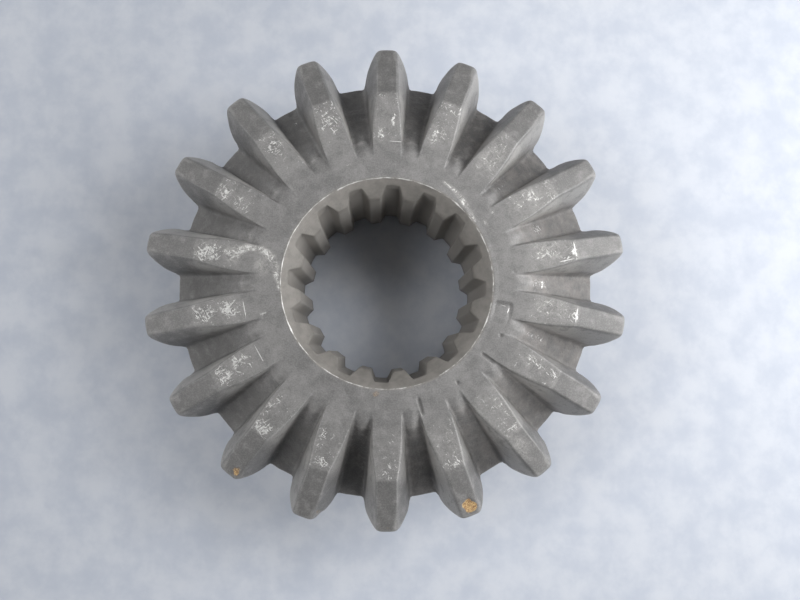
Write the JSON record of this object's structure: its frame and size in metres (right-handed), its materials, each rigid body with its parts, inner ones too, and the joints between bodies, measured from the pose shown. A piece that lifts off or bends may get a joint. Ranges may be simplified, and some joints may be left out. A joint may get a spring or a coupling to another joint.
{
  "type": "bevel gear",
  "caption": "Forged steel straight bevel gear with a splined bore, a flat toothed front and a plain round hub behind.",
  "frame": {"origin": "middle of the hub's end face, on the gear's axis, which is the lowest face of the part", "axes": "+Z along the gear's axis from the hub to the flat toothed front; one tooth points along +Y"},
  "size_m": [0.1118, 0.1128, 0.038],
  "materials": {
    "forged_steel": "matt dark grey phosphate over forged and machined steel"
  },
  "bodies": {
    "root": {"side_gear": "forged_steel"}
  },
  "joints": []
}
